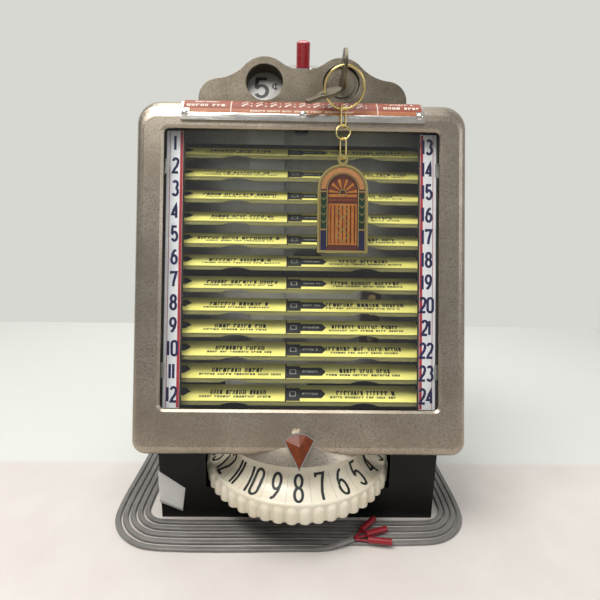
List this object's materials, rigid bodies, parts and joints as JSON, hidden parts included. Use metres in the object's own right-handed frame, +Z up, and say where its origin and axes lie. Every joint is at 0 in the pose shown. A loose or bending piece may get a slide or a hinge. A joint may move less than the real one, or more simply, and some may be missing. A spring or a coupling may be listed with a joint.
{
  "type": "jukebox wall box",
  "caption": "Wedge-shaped coin-operated song selector with a hinged window cover over title strips, a round numbered dial, a coin head with button and lock, and a coiled lead.",
  "frame": {"origin": "centre of the housing's base, on the table", "axes": "+Z up, -Y out of the leaning face towards the user, +X to the user's right"},
  "size_m": [0.2588, 0.1935, 0.3384],
  "materials": {
    "black_paint": "satin",
    "cast_metal": "aged, satin",
    "head_metal": "aged, dull",
    "plated_steel": "zinc plated",
    "spring_steel": "bright",
    "polished_metal": "polished, worn",
    "brass": "bright",
    "gold_plate": "gold plated",
    "key_metal": "tarnished",
    "rack_paint": "satin",
    "slat_paint": "satin",
    "title_card": "printed card",
    "number_card": "printed",
    "phenolic": "laminate",
    "switch_black": "moulded",
    "grommet_rubber": "matt",
    "glass": "clear",
    "amber_glass": "faceted",
    "plate_enamel": "enamelled, polished edges",
    "price_metal": "printed",
    "dial_cream": "moulded",
    "button_red": "moulded",
    "fob_enamel": "enamelled",
    "cable_grey": "smooth",
    "crimp_red": "moulded"
  },
  "bodies": {
    "housing": {"housing": "black_paint", "hinge_housing_leaf": "plated_steel", "hinge_pin": "plated_steel", "title_rack": "rack_paint", "title_slats": "slat_paint", "title_strips": "title_card", "number_strips": "number_card", "chassis_plate": "plated_steel", "bearing_bracket": "plated_steel", "bearing_bush": "brass", "contact_disc": "phenolic", "contact_studs": "brass", "detent_spring": "spring_steel", "coin_chute": "plated_steel", "coin_box": "plated_steel", "coin_switch": "switch_black", "button_switch": "switch_black", "terminal_strip": "phenolic", "terminal_screws": "brass", "cable_grommet": "grommet_rubber", "chassis_screws": "plated_steel", "strike_plate": "plated_steel", "cable_lead": "cable_grey", "cable_coil": "cable_grey", "cable_tail": "cable_grey", "cable_fittings": "crimp_red"},
    "cover": {"front_cover": "cast_metal", "window_glass": "glass", "glass_clips": "plated_steel", "cover_screws": "plated_steel", "instruction_plate": "plate_enamel", "drive_screws": "polished_metal", "pointer_bezel": "polished_metal", "pointer_jewel": "amber_glass", "hinge_cover_leaf": "plated_steel", "coin_head": "head_metal", "price_plate": "price_metal", "lock_body": "polished_metal", "lock_nut": "plated_steel", "button_bushing": "polished_metal", "bushing_nut": "plated_steel", "button_spring": "spring_steel"},
    "dial": {"dial": "dial_cream", "dial_shaft": "plated_steel", "dial_nut": "plated_steel", "detent_wheel": "plated_steel", "contact_wiper": "brass"},
    "detent": {"detent_lever": "plated_steel", "detent_roller": "brass"},
    "button": {"push_button": "button_red", "button_clip": "plated_steel"},
    "lock": {"lock_plug": "polished_metal", "lock_cam": "plated_steel", "key": "key_metal"},
    "key_ring": {"split_ring": "gold_plate", "spare_key": "key_metal"},
    "key_fob": {"key_chain": "gold_plate", "fob": "gold_plate", "fob_enamel": "fob_enamel"},
    "coin_trip": {"coin_trip": "brass"}
  },
  "joints": [
    {"name": "cover_hinge", "type": "hinge", "parent": "housing", "child": "cover", "pos_m": [-0.1055, -0.01937, 0.17425], "axis": [0, -0.2504, -0.9681], "range_deg": [0, 95]},
    {"name": "dial_turn", "type": "hinge", "parent": "housing", "child": "dial", "pos_m": [0, -0.0236, 0.04], "axis": [0, 0, 1], "continuous": true},
    {"name": "detent_swing", "type": "hinge", "parent": "housing", "child": "detent", "pos_m": [-0.03, 0.0024, 0.0244], "axis": [0, 0, 1], "range_deg": [0, 6], "stiffness_Nm_per_rad": 0.3, "springref_deg": -17.19, "deforming": ["detent_spring"]},
    {"name": "button_press", "type": "slide", "parent": "cover", "child": "button", "axis": [0, 0.342, -0.9397], "range_m": [0, 0.006], "stiffness_N_per_m": 250, "springref_m": -0.006, "deforming": ["button_spring"]},
    {"name": "lock_turn", "type": "hinge", "parent": "cover", "child": "lock", "pos_m": [0.0265, -0.00357, 0.30764], "axis": [0, 0.9681, -0.2504], "range_deg": [0, 90]},
    {"name": "ring_swing", "type": "hinge", "parent": "lock", "child": "key_ring", "pos_m": [0.0265, -0.02952, 0.31435], "axis": [-1, 0, 0], "range_deg": [0, 45]},
    {"name": "fob_swing", "type": "hinge", "parent": "key_ring", "child": "key_fob", "pos_m": [0.0265, -0.02375, 0.28811], "axis": [-1, 0, 0], "range_deg": [0, 45]},
    {"name": "coin_trip_swing", "type": "hinge", "parent": "housing", "child": "coin_trip", "pos_m": [-0.002, 0.0244, 0.18], "axis": [0, -1, 0], "range_deg": [0, 12], "stiffness_Nm_per_rad": 0.004, "springref_deg": -5.73}
  ]
}
